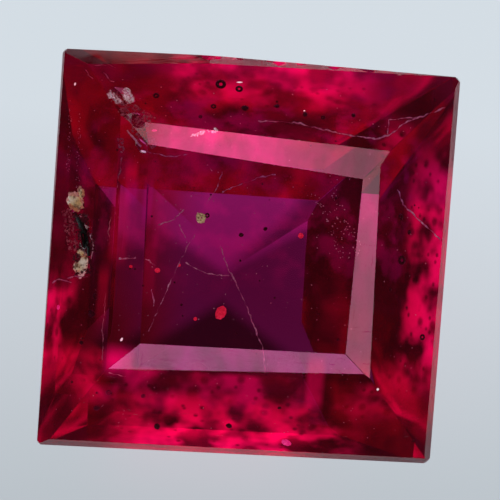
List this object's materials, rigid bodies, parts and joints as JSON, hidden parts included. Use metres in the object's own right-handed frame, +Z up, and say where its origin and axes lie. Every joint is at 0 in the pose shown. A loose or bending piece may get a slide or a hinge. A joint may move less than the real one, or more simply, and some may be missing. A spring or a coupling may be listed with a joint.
{
  "type": "square step-cut ruby gemstone",
  "caption": "Loose square step-cut ruby with a flat table, a stepped crown, a thin bevelled girdle and a stepped pavilion, lying on a facet of the pavilion's point.",
  "frame": {"origin": "centre of the bounding box's footprint, on the surface that the stone lies on", "axes": "+Z up from that surface; the table faces up and towards -Y, and +X runs along the girdle's near side, to the right as the table is looked at"},
  "size_m": [0.0066, 0.0062, 0.0046],
  "materials": {
    "ruby": "clear, hand-polished facets with fine scratches; deep red, see-through, IOR 1.762"
  },
  "bodies": {
    "root": {"ruby": "ruby"}
  },
  "joints": []
}
